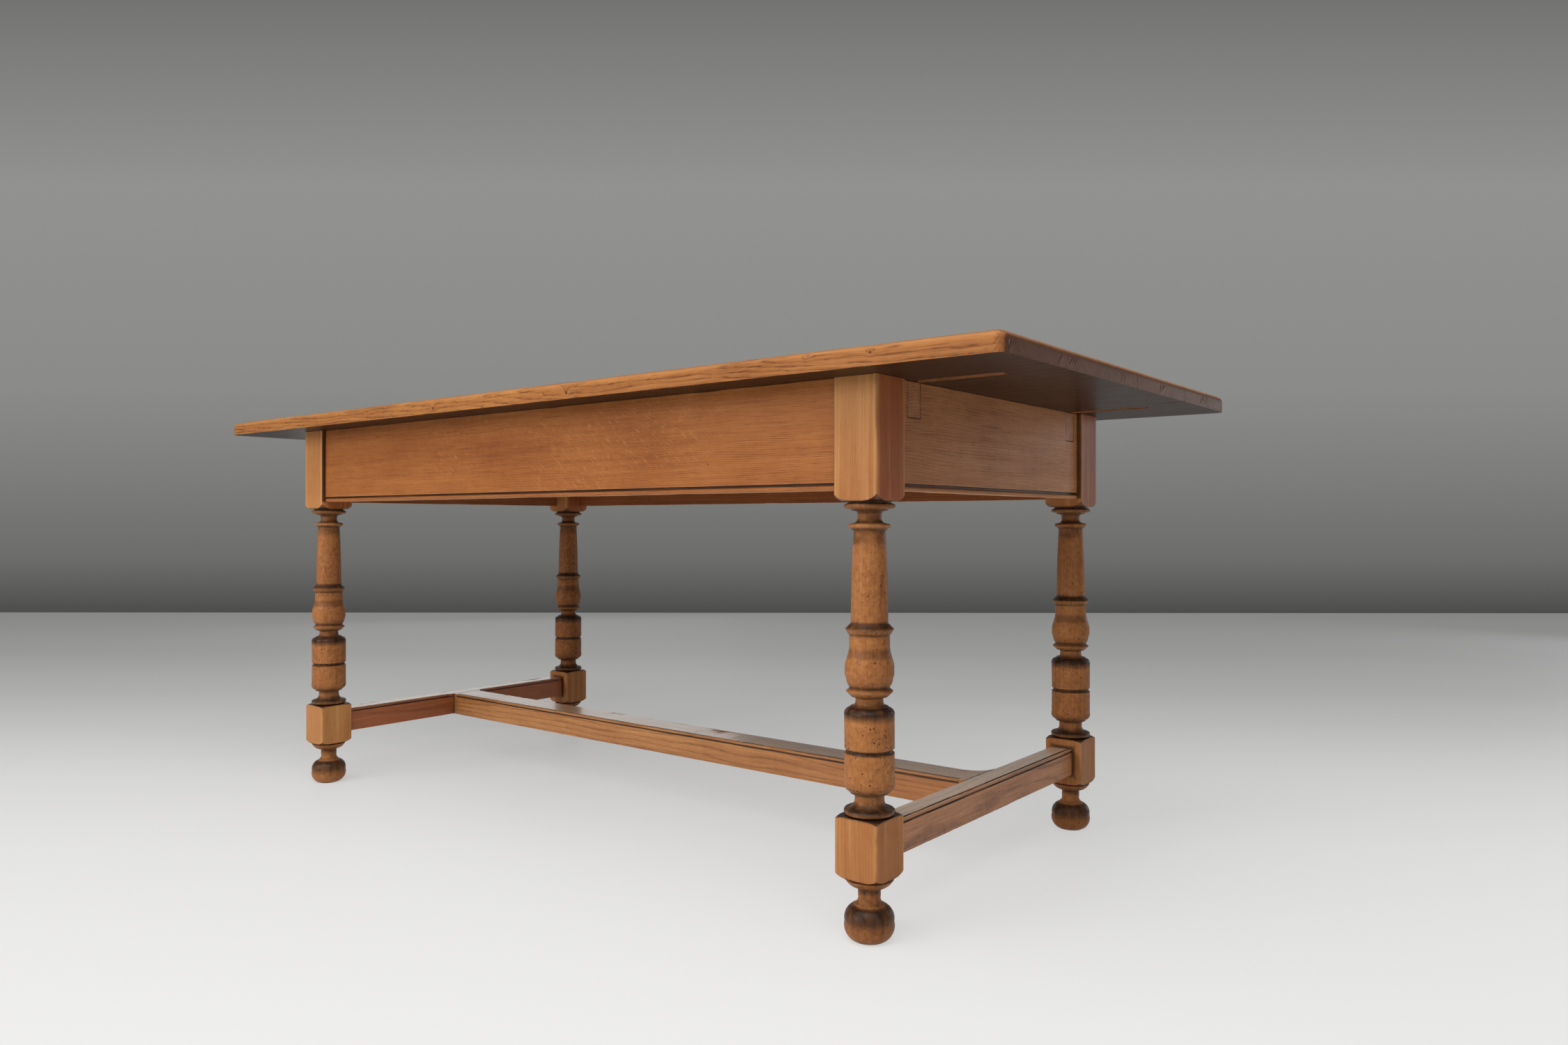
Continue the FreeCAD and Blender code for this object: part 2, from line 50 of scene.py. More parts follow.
class Wire:
    # one socket of a material; arithmetic on it adds Math nodes
    def __init__(self, tree, socket):
        self.tree = tree
        self.socket = socket

    def math(self, operation, first, second=0.0):
        return addNode(self.tree, "Math", {"operation": operation}, {0: first, 1: second})

    def __add__(self, other):
        return self.math("ADD", self, other)

    def __radd__(self, other):
        return self.math("ADD", other, self)

    def __sub__(self, other):
        return self.math("SUBTRACT", self, other)

    def __rsub__(self, other):
        return self.math("SUBTRACT", other, self)

    def __mul__(self, other):
        return self.math("MULTIPLY", self, other)

    def __rmul__(self, other):
        return self.math("MULTIPLY", other, self)

    def __truediv__(self, other):
        return self.math("DIVIDE", self, other)

    def size(self):
        return self.math("ABSOLUTE", self)

    def fraction(self):
        return self.math("FRACT", self)

    def whole(self):
        return self.math("FLOOR", self)

    def least(self, other):
        return self.math("MINIMUM", self, other)

    def most(self, other):
        return self.math("MAXIMUM", self, other)

    def angle(self, other):
        # the angle whose tangent is this wire over the other
        return self.math("ARCTAN2", self, other)

    def rise(self, low, high):
        # 0 below low, 1 above high, smooth between
        values = {"Value": self, "From Min": low, "From Max": high}
        return addNode(self.tree, "MapRange", {"interpolation_type": "SMOOTHSTEP"}, values)

    def fall(self, low, high):
        return 1 - self.rise(low, high)

    def band(self, low, high, soft):
        return self.rise(low - soft, low) * self.fall(high, high + soft)

    def near(self, middle, reach):
        return (self - middle).size().fall(0, reach)

    def ramp(self, stops):
        return addNode(self.tree, "ValToRGB", {"stops": stops}, {"Fac": self}, "Color")

    def mixed(self, first, second):
        # this wire chooses between two colours
        settings = {"data_type": "RGBA"}
        return addNode(self.tree, "Mix", settings, {0: self, 6: colour(first), 7: colour(second)}, 2)

    def shading(self, tint):
        # a colour made darker or lighter by this wire
        settings = {"data_type": "RGBA", "blend_type": "MULTIPLY"}
        return addNode(self.tree, "Mix", settings, {0: 1.0, 6: colour(tint), 7: self}, 2)

    def also(self, result):
        # another result of the node that this wire comes from
        return Wire(self.tree, self.socket.node.outputs[result])


def colour(value):
    return value if isinstance(value, Wire) else (*value, 1.0)


def addNode(tree, kind, settings, values, result=0):
    node = tree.nodes.new("ShaderNode" + kind)
    for key, value in settings.items():
        if key != "stops":
            setattr(node, key, value)
            continue
        points = node.color_ramp.elements
        while len(points) < len(value):
            points.new(1.0)
        for point, (place, tone) in zip(points, value):
            point.position = place
            point.color = (tone, tone, tone, 1.0) if isinstance(tone, float) else (*tone, 1.0)
    for key, value in values.items():
        if isinstance(value, Wire):
            tree.links.new(value.socket, node.inputs[key])
        else:
            node.inputs[key].default_value = value
    return Wire(tree, node.outputs[result])


def srgb(red, green, blue):
    # a colour as a screen shows it, 0 to 255, in linear light
    def linear(level):
        share = level / 255
        return share / 12.92 if share <= 0.04045 else ((share + 0.055) / 1.055) ** 2.4
    return (linear(red), linear(green), linear(blue))


def newMaterial(name):
    material = bpy.data.materials.new(name)
    material.use_nodes = True
    tree = material.node_tree
    tree.nodes.clear()
    return material, tree


def toSurface(shader, kind="ShaderNodeOutputMaterial"):
    output = shader.tree.nodes.new(kind)
    shader.tree.links.new(shader.socket, output.inputs["Surface"])


# Oak: growth rings round a pith, pores, fibres, knots, stain and wear, with dark wax, painted shade and
# painted highlights

oakLook = {
    "pale": srgb(204, 144, 84),
    "tan": srgb(176, 112, 60),
    "brown": srgb(126, 70, 34),
    "pore": srgb(60, 32, 18),
    # the colour of dark wax, and of painted shade in creases, quirks, grooves and inner corners
    "waxAndPaintedShade": srgb(38, 25, 19),
    # the colour of wear and of painted highlights on arrises, ridges and beads
    "wearAndHighlight": srgb(214, 162, 108),
    "ringWidth": 0.0034,
    "ringDepth": 0.30,
    "sway": 0.034,
    "fibreDepth": 0.8,
    "streakDepth": 0.8,
    "broadDepth": 0.9,
    "blotchDepth": 0.5,
    "mottleDepth": 0.25,
    "poreDepth": 0.55,
    "roughness": 0.46,
    "coatRoughness": 0.18,
    "gloss": 0.26,
    "bump": 0.35,
    "bumpDistance": 0.0004,
}

# how fine each pattern is along the grain and in the two directions across it
oakScales = {
    "slowSway": (1.6, 9, 9),
    "quickSway": (9, 70, 70),
    "fibre": (14, 420, 420),
    "streak": (4, 95, 95),
    "broad": (1.8, 8, 8),
    "blotch": (7, 7, 7),
    "mottle": (70, 70, 70),
    "pores": (60, 1000, 1000),
    "dashes": (20, 420, 420),
}

# how much early wood there is from the start of a year's growth, at 0, to its end, at 1
ringTones = [(0.0, 0.7), (0.07, 1.0), (0.26, 0.25), (0.7, 0.0), (0.96, 0.1), (1.0, 0.7)]

grainTurns = {
    "X": (0, 0, 0),
    "Y": (0, 0, -math.pi / 2),
    "Z": (0, math.pi / 2, 0),
}


class Oak:
    # the wires of one oak finish, in which +X of self.grainPlace runs along the grain
    def __init__(self, name, grain, shift, look, knots=()):
        self.look = {**oakLook, **look}
        self.material, self.tree = newMaterial(name)
        self.place = addNode(self.tree, "TexCoord", {}, {}, "Object")
        self.x, self.y, self.z = self.split(self.place)
        turned = self.node("Mapping", {}, {"Vector": self.place, "Rotation": grainTurns[grain]})
        self.grainPlace = self.vector("ADD", turned, shift)
        self.facing = self.split(addNode(self.tree, "NewGeometry", {}, {}, "Normal"))
        self.swirl = 0.0
        self.heart = 0.0
        for place, radius in knots:
            away = self.node("VectorMath", {"operation": "DISTANCE"}, {0: self.place, 1: place}, "Value")
            self.swirl = away.fall(0, radius * 4) * radius * 0.5 + self.swirl
            self.heart = (away + self.roughened(radius)).fall(radius * 0.2, radius) + self.heart

    def node(self, kind, settings, values, result=0):
        return addNode(self.tree, kind, settings, values, result)

    def split(self, wire):
        return [self.node("SeparateXYZ", {}, {0: wire}, axis) for axis in "XYZ"]

    def joined(self, first, second, third):
        return self.node("CombineXYZ", {}, {0: first, 1: second, 2: third})

    def vector(self, operation, first, second):
        return self.node("VectorMath", {"operation": operation}, {0: first, 1: second})

    def noise(self, scales, detail=2.0, roughness=0.5, distortion=0.0, place=None):
        stretched = self.vector("MULTIPLY", place or self.grainPlace, scales)
        values = {"Vector": stretched, "Scale": 1.0, "Detail": detail, "Roughness": roughness,
                  "Distortion": distortion}
        return self.node("TexNoise", {}, values, "Fac")

    def roughened(self, radius):
        # an uneven edge for a round mark of this radius
        return (self.noise((1.4 / radius,) * 3, 2.0, place=self.place) - 0.5) * radius * 1.6

    def pits(self, scale, least, spread):
        # round worm holes and pits, some cells of the pattern holding none
        away = self.node("TexVoronoi", {}, {"Vector": self.place, "Scale": scale}, "Distance")
        chance = self.split(away.also("Color"))[0]
        radius = (chance - 0.45) * spread + least
        return (radius - away).rise(0.0, 0.035) * chance.rise(0.44, 0.46)

    def reach(self):
        # distance from the pith
        flat = self.vector("MULTIPLY", self.grainPlace, (0, 1, 1))
        return self.node("VectorMath", {"operation": "LENGTH"}, {0: flat}, "Value")

    def rings(self, slope):
        # 0 at the start of a year's growth, 1 at its end
        slow = self.noise(oakScales["slowSway"], 2.0) - 0.5
        quick = self.noise(oakScales["quickSway"], 2.0) - 0.5
        along = self.split(self.grainPlace)[0]
        reach = self.reach() + slow * self.look["sway"] + quick * 0.0040 + along * slope + self.swirl
        return (reach / self.look["ringWidth"]).fraction()

    def finish(self, waxAndPaintedShade, wearAndHighlight, coats=(), tone=0.0, slope=0.0, hollow=0.0, shine=0.0, coat=0.0):
        # the masks of dark wax with painted shade, of wear with painted highlight, and of each coat run from
        # 0 to 1; tone darkens, hollow sinks, shine smooths
        look = self.look
        early = self.rings(slope).ramp(ringTones)
        fibre = self.noise(oakScales["fibre"], 4.0, 0.62) - 0.5
        streak = self.noise(oakScales["streak"], 3.0, 0.55, 0.3) - 0.5
        broad = self.noise(oakScales["broad"], 3.0) - 0.5
        blotch = self.noise(oakScales["blotch"], 2.0, place=self.place) - 0.5
        mottle = self.noise(oakScales["mottle"], 4.0, 0.65, place=self.place) - 0.5
        pores = self.noise(oakScales["pores"], 1.0).rise(0.56, 0.70) * (early * 0.85 + 0.15)
        dashes = self.noise(oakScales["dashes"], 1.0).rise(0.62, 0.74) * (early * 0.7 + 0.3)
        shade = (early - 0.3) * look["ringDepth"] + fibre * look["fibreDepth"] + streak * look["streakDepth"]
        shade = shade + broad * look["broadDepth"] + blotch * look["blotchDepth"]
        shade = shade + mottle * look["mottleDepth"] + tone + 0.5
        wood = shade.ramp([(0.05, look["pale"]), (0.5, look["tan"]), (0.95, look["brown"])])
        for mask, tint in coats:
            wood = mask.mixed(wood, (1.3 - shade * 0.6).shading(tint))
        dots = ((pores + dashes * 0.8) * look["poreDepth"] + self.heart * 0.8).least(0.92)
        wood = dots.mixed(wood, look["pore"])
        # wear and painted highlight over the wood
        wood = (wearAndHighlight * (0.55 + fibre)).mixed(wood, look["wearAndHighlight"])
        # dark wax and painted shade over the wood
        darkening = (waxAndPaintedShade * (0.97 + streak * 0.8)).least(0.97)
        wood = darkening.mixed(wood, look["waxAndPaintedShade"])
        height = fibre * 0.5 - pores * 0.9 - dashes * 0.8 - early * 0.2 - hollow
        strength = {"Strength": look["bump"], "Distance": look["bumpDistance"], "Height": height}
        roughness = look["roughness"] + fibre * 0.16 + streak * 0.12 + pores * 0.15 - darkening * 0.10 - shine
        values = {
            "Base Color": wood,
            "Roughness": roughness,
            "Normal": self.node("Bump", {}, strength),
            "Coat Weight": coat,
            "Coat Roughness": look["coatRoughness"],
            "Specular IOR Level": look["gloss"],
        }
        toSurface(self.node("BsdfPrincipled", {}, values))
        return self.material


# Fixed places of the pieces, from the frame

legLow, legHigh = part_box("leg_back_right")
legMiddle = (legLow + legHigh) / 2
legHalf = (legHigh.x - legLow.x) / 2
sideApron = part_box("apron_back")
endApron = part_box("apron_right")
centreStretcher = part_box("stretcher_centre")
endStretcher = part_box("stretcher_right")
loperLow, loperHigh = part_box("loper_back_right")
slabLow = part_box("top_board_1")[0]
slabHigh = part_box("top_board_4")[1]
boardWidth = (slabHigh.y - slabLow.y) / 4


topLook = {
    "ringWidth": 0.0024,
    "ringDepth": 0.30,
    "sway": 0.015,
    "streakDepth": 0.5,
    "broadDepth": 0.45,
    "poreDepth": 0.95,
    "gloss": 0.09,
    "pale": srgb(184, 127, 72),
    "tan": srgb(158, 102, 56),
    "brown": srgb(110, 62, 32),
}
# the place and the radius of each knot, on the front edge and on the top face
topKnots = [
    ((0.648, -0.415, 0.756), 0.0038),
    ((0.742, -0.415, 0.750), 0.0028),
    ((0.187, -0.415, 0.742), 0.0034),
    ((-0.164, -0.415, 0.740), 0.0036),
    ((-0.503, -0.415, 0.757), 0.0030),
    ((0.31, -0.10, 0.760), 0.011),
    ((-0.44, 0.16, 0.760), 0.009),
    ((0.62, 0.29, 0.760), 0.007),
    ((-0.71, -0.27, 0.760), 0.008),
]
topTints = {
    "end": srgb(88, 57, 43),
    "under": srgb(26, 14, 9),
    "groove": srgb(160, 112, 78),
    "corner": srgb(140, 90, 56),
}
# between which distances, in metres, each mark comes or goes
topMarks = {
    "underside": (0.0004, 0.0015),
    "grooveHeight": (0.0004, 0.0062),
    "grooveSide": (0.0112, 0.0118),
    "grooveEnd": (0.8442, 0.8450),
    "corner": (0.003, 0.014),
    "cornerDrop": (0.002, 0.010),
    "rim": (0.0, 0.002),
    "splitStart": (0.0002, 0.0012),
    "splitDrop": (0.0114, 0.0120),
    "splitHeight": (0.0008, 0.0012),
    "splitSide": (0.0140, 0.0145),
}


def topOak():
    oak = Oak("topOak", "X", (0, 0, 0), topLook, topKnots)
    place = (oak.y - slabLow.y) / boardWidth
    board = place.least(3.99).most(0.01).whole()
    # each board is cut from a place of its own in the log
    across = oak.y - (board + 0.5) * boardWidth - slabLow.y + (board * 2.3).fraction() * 0.10 - 0.05
    deep = oak.z - (slabLow.z + slabHigh.z) / 2 + (board * 0.37).fraction() * 0.16 + 0.055
    oak.grainPlace = oak.joined(oak.x + board * 3.7, across, deep)
    joint = place.fraction()
    inside = place.band(0.02, 3.98, 0.01)
    jointLine = joint.most(1 - joint).rise(0.9960, 0.9990) * inside
    rise = oak.z - slabLow.z
    drop = slabHigh.z - oak.z
    fromEnd = slabHigh.x - oak.x.size()
    fromSide = slabHigh.y - oak.y.size()
    endward = oak.facing[0].size()
    frontward = oak.facing[1].size().rise(0.45, 0.75)
    endFace = endward.rise(0.75, 0.95)
    # painted shade: the underside of the top is painted near black
    under = oak.facing[2].fall(-0.95, -0.75) * rise.fall(*topMarks["underside"])
    loperAway = (oak.y.size() - (loperLow.y + loperHigh.y) / 2).size()
    groove = rise.band(*topMarks["grooveHeight"], 0.0002) * loperAway.fall(*topMarks["grooveSide"])
    groove = groove * oak.x.size().fall(*topMarks["grooveEnd"])
    cornered = fromEnd.fall(*topMarks["corner"]) * fromSide.fall(*topMarks["corner"])
    angle = deep.angle(across)
    spokes = oak.noise((46, 14, 3), 2.0, place=oak.joined(angle, oak.reach(), board))
    rays = oak.noise((170, 22, 3), 1.0, place=oak.joined(angle, oak.reach(), board))
    splits = spokes.rise(0.655, 0.70) * endFace
    # painted shade inside the drying splits cut into the ends
    splitShade = fromEnd.rise(*topMarks["splitStart"]) * endward.rise(0.15, 0.35)
    splitShade = splitShade * drop.rise(*topMarks["splitDrop"]) * rise.rise(*topMarks["splitHeight"])
    splitShade = splitShade * fromSide.rise(*topMarks["splitSide"]) * inside
    waxAndPaintedShade = jointLine * 0.8 + splits * 0.85 + splitShade * 0.9 + endFace * rays.rise(0.52, 0.68) * 0.22
    # the top arris is paler: wear, and a painted highlight
    wearAndHighlight = drop.fall(*topMarks["cornerDrop"]) * drop.rise(*topMarks["rim"]) * (frontward * 0.3 + 0.05)
    coats = [
        (endFace * 0.92, topTints["end"]),
        (under * 0.94, topTints["under"]),
        (groove, topTints["groove"]),
        (cornered * frontward * 0.6, topTints["corner"]),
    ]
    sheen = oak.facing[2].rise(0.5, 0.9) * 0.5
    return oak.finish(waxAndPaintedShade.least(1.0), wearAndHighlight.least(1.0), coats, slope=0.010, hollow=splits * 2,
                      shine=under * 0.14, coat=sheen)


legLook = {
    "ringWidth": 0.0046,
    "ringDepth": 0.07,
    "fibreDepth": 0.28,
    "streakDepth": 0.22,
    "broadDepth": 0.7,
    "mottleDepth": 0.15,
    "poreDepth": 0.20,
    "gloss": 0.16,
    "pale": srgb(192, 136, 82),
    "tan": srgb(164, 106, 60),
    "brown": srgb(112, 63, 32),
    # the deeper brown of the painted shade on the upper blocks' right-hand faces
    "deep": srgb(143, 70, 32),
}
# heights in metres and how dark the wax and the painted shade of creases and grooves are there, from the
# foot to the apron
lowWaxAndShade = [(0.000, 0.40), (0.005, 0.06), (0.013, 0.10), (0.021, 0.34), (0.029, 0.78), (0.0445, 0.94),
          (0.0462, 0.25), (0.049, 0.30), (0.053, 0.10), (0.060, 0.12), (0.066, 0.75), (0.070, 0.62),
          (0.0745, 0.35), (0.080, 0.12), (0.0822, 0.85),
          (0.0855, 0.0), (0.1605, 0.0), (0.1640, 0.92), (0.1655, 0.35), (0.1682, 0.62), (0.1722, 0.96),
          (0.1775, 0.72), (0.1820, 0.15), (0.1885, 0.30), (0.1920, 0.85), (0.1965, 0.40),
          (0.2080, 0.05), (0.2430, 0.06), (0.2455, 0.92), (0.2488, 0.92), (0.2510, 0.08), (0.2800, 0.05)]
highWaxAndShade = [(0.286, 0.08), (0.291, 0.60), (0.296, 0.96), (0.3035, 0.94), (0.3080, 0.45), (0.3150, 0.12),
           (0.3180, 0.85), (0.3205, 0.25), (0.3260, 0.22), (0.3300, 0.88), (0.3340, 0.30), (0.3420, 0.04),
           (0.3660, 0.05), (0.3700, 0.42), (0.3780, 0.45), (0.3830, 0.06), (0.3950, 0.08), (0.3988, 0.75),
           (0.4010, 0.25), (0.4050, 0.50), (0.4080, 0.92), (0.4135, 0.85), (0.4165, 0.10), (0.5100, 0.05),
           (0.5180, 0.30), (0.5320, 0.38), (0.5350, 0.85), (0.5378, 0.12), (0.5420, 0.30), (0.5445, 0.85),
           (0.5500, 0.40), (0.5570, 0.35)]
neckWaxAndShade = [(0.556, 0.35), (0.5600, 0.85), (0.5625, 0.35), (0.5670, 0.42), (0.5705, 0.90), (0.5740, 0.05)]
# in metres: heights of what is shaped, worn, stained, or painted with shade or highlight, then reaches from
# the leg's own axis
legMarks = {
    "lowBlock": (0.0848, 0.1614),
    "highBlock": (0.5730, 0.5745),
    "blockSoft": 0.0014,
    "crowns": [(0.158, 0.010), (0.088, 0.008)],
    "highCrown": (0.572, 0.584),
    "drums": (0.196, 0.290),
    "stain": (0.520, 0.5335),
    "ridges": [(0.1675, 0.0020), (0.3235, 0.0020), (0.4040, 0.0022), (0.5400, 0.0022)],
    "footRidge": (0.0468, 0.0009),
    "arris": (0.0090, 0.0035),
    "setbackShadow": (-0.0336, -0.0330),
    "setbackBeside": (0.024, 0.0265),
    "setbackHeight": (0.584, 0.588),
}


def waxed(height, stops):
    # a band of heights as one ramp
    low, high = stops[0][0], stops[-1][0]
    shares = [((place - low) / (high - low), level) for place, level in stops]
    inside = height.band(low, high, 0.0005)
    return ((height - low) / (high - low)).ramp(shares) * inside


def legOak():
    oak = Oak("legOak", "Z", (0, 0.31, 0.17), legLook)
    sideways = oak.x.size() - legMiddle.x
    depth = oak.y.size() - legMiddle.y
    height = oak.z + (oak.noise((60, 60, 60), 1.0, place=oak.place) - 0.5) * 0.0016
    # dark wax and painted shade in the creases and grooves, band by band up the leg
    waxAndCreaseShade = waxed(height, lowWaxAndShade) + waxed(height, highWaxAndShade) + waxed(height, neckWaxAndShade)
    tilt = oak.facing[2].size().rise(0.10, 0.55)
    crowns = height.band(*legMarks["highCrown"], 0.004)
    for place, reach in legMarks["crowns"]:
        crowns = height.near(place, reach) + crowns
    arrisStart, arrisEnd = [legHalf * 2 - part for part in legMarks["arris"]]
    corner = (sideways.size() + depth.size()).rise(arrisStart, arrisEnd)
    highBlock = height.rise(*legMarks["highBlock"])
    blocks = height.band(*legMarks["lowBlock"], legMarks["blockSoft"]) + highBlock
    flat = blocks * (1 - corner)
    # dark wax and painted shade round the end stretchers' sockets, and painted shadow beside the aprons,
    # which are set back
    inner = depth.fall(-0.0318, -0.0312)
    across = sideways.size() - (endStretcher[1].x - endStretcher[0].x) / 2
    upright = (height - (endStretcher[0].z + endStretcher[1].z) / 2).size()
    upright = upright - (endStretcher[1].z - endStretcher[0].z) / 2
    smudge = oak.noise((60, 60, 60), 2.0, place=oak.place)
    socket = across.most(upright).fall(0.0005, smudge * 0.014) * inner * blocks
    setbackShadow = sideways.fall(*legMarks["setbackShadow"]) * depth.rise(*legMarks["setbackBeside"])
    setbackShadow = setbackShadow + depth.fall(*legMarks["setbackShadow"]) * sideways.rise(*legMarks["setbackBeside"])
    setbackShadow = setbackShadow * height.rise(*legMarks["setbackHeight"])
    waxAndPaintedShade = (waxAndCreaseShade + crowns * tilt * 0.75 + socket * 0.75 + setbackShadow * 0.8).least(1.0)
    pale = oak.noise((3, 120, 120), 1.0).rise(0.54, 0.70) * flat
    stain = oak.noise((60, 60, 60), 3.0, 0.6, place=oak.place).rise(0.44, 0.58)
    stain = stain * height.band(*legMarks["stain"], 0.006) * 0.55
    smallPits = oak.pits(230.0, 0.12, 0.40)
    largePits = oak.pits(95.0, 0.05, 0.26)
    drums = height.band(*legMarks["drums"], 0.006)
    spotted = oak.noise((30, 30, 30), 1.0, place=oak.place).rise(0.36, 0.54)
    holes = smallPits * (drums * 0.60 + 0.35) * spotted + largePits * 0.6
    holes = holes.least(0.9) * (1 - blocks * 0.85)
    speckle = oak.noise((150, 150, 150), 3.0, 0.7, place=oak.place) - 0.5
    # the blocks of the left legs are painted lighter, as painted light; their turned parts are darker
    leftward = oak.x.fall(-0.1, 0.1)
    turned = (1 - blocks) * (speckle * 0.9 + leftward * 0.06 + 0.05) - blocks * leftward * 0.16
    # painted shade: the right-hand faces of the upper blocks are painted a deeper brown
    shadedFaces = highBlock * oak.facing[0].rise(0.70, 0.95)
    coats = [
        (shadedFaces * 0.75, oak.look["deep"]),
        (pale * 0.18, oak.look["wearAndHighlight"]),
        (stain, oak.look["brown"]),
        (holes, oak.look["pore"]),
    ]
    ridges = height.near(*legMarks["footRidge"]) * 1.5
    for place, reach in legMarks["ridges"]:
        ridges = height.near(place, reach) + ridges
    # the blocks' arrises and the ring ridges are paler: wear, and painted highlights
    wearAndHighlight = (corner * blocks * 0.55 + ridges * 0.35).least(1.0)
    return oak.finish(waxAndPaintedShade, wearAndHighlight, coats, tone=turned, hollow=holes * 2)


def cornerShade(distance):
    # painted shade in an inner corner, with dark wax left there
    return distance.fall(0.0008, 0.0055)


def loperEdge(oak):
    # how far a place lies outside a loper's section
    across = (oak.y.size() - (loperLow.y + loperHigh.y) / 2).size() - (loperHigh.y - loperLow.y) / 2
    return across.most(loperLow.z - oak.z)


apronLook = {
    "ringWidth": 0.0026,
    "ringDepth": 0.30,
    "fibreDepth": 0.7,
    "streakDepth": 0.40,
    "broadDepth": 0.55,
    "poreDepth": 0.45,
    "gloss": 0.16,
    "pale": srgb(180, 116, 62),
    "tan": srgb(156, 93, 46),
    "brown": srgb(118, 62, 29),
    "beadTint": srgb(150, 96, 62),
    # painted shade on the aprons' inner faces
    "innerShade": srgb(130, 66, 34),
    "backTint": srgb(205, 140, 84),
}
apronBead = {"height": 0.0068, "quirk": 0.0032, "rim": 0.0016}


def apronOak(name, grain, box, reach, look, knots=()):
    oak = Oak(name, grain, (0, 0.42, 0.045), {**apronLook, **look}, knots)
    lengthways = grain == "X"
    along = (oak.x if lengthways else oak.y).size()
    rise = oak.z - box[0].z
    beadTop = apronBead["height"]
    quirkTop = beadTop + apronBead["quirk"]
    quirk = rise.band(beadTop + 0.0001, quirkTop, 0.0005)
    outer = (oak.y.size() - box[0].y if lengthways else oak.x.size() - box[0].x).rise(0.004, 0.012)
    # painted shade in the quirk over the bead and in the corners at the legs, with dark wax
    waxAndPaintedShade = quirk * 0.92 * outer + cornerShade(reach - along) * 0.85 * outer
    if not lengthways:
        waxAndPaintedShade = waxAndPaintedShade + loperEdge(oak).size().fall(0.0006, 0.0020) * 0.6
    bead = rise.fall(0, beadTop)
    # a painted highlight along the lower edge of the bead and on the arris above the quirk, with wear
    rim = rise.fall(0, apronBead["rim"]) * outer
    wearAndHighlight = rim * 0.9 + rise.near(quirkTop + 0.0008, 0.0010) * 0.3
    tilt = math.radians(-32)
    tilted = oak.node("Mapping", {}, {"Vector": oak.place, "Rotation": (tilt, tilt, 0)})
    patch = oak.noise((3.0, 3.0, 8), 1.0, place=oak.place).rise(0.40, 0.58) * oak.x.band(-0.20, 0.33, 0.15)
    fleck = oak.noise((60, 60, 520), 1.0, place=tilted).rise(0.60, 0.70) * patch
    coats = [
        (fleck * 0.22, oak.look["wearAndHighlight"]),
        (bead * 0.35, oak.look["beadTint"]),
        # painted shade on the inner faces
        ((1 - outer) * 0.5, oak.look["innerShade"]),
    ]
    if not lengthways:
        coats.append((oak.y.rise(0.0, 0.33) * outer * 0.4, oak.look["backTint"]))
    return oak.finish(waxAndPaintedShade.least(1.0), wearAndHighlight.least(1.0), coats)


stretcherLook = {
    "ringWidth": 0.0110,
    "ringDepth": 0.26,
    "sway": 0.07,
    "streakDepth": 0.5,
    "poreDepth": 0.50,
    # the pale colour of the painted sheen on the tops
    "sheen": srgb(206, 172, 146),
    "deep": srgb(150, 84, 40),
}
stretcherBead = {"width": 0.0046, "quirk": 0.0020, "stop": 0.012}
# in metres: the scratch is at scratchHeight that far in front of the middle, and climbs backwards
railMarks = {
    "scratchHeight": 0.1237,
    "scratchFrom": 0.262,
    "scratchSlope": 0.040,
    "scratchWidth": 0.0007,
    "crackAcross": 0.673,
    "crackFrom": 0.055,
    "crackSlope": 0.12,
    "crackWidth": 0.0009,
    "crackLength": (0.058, 0.115),
    "smudge": 0.045,
}


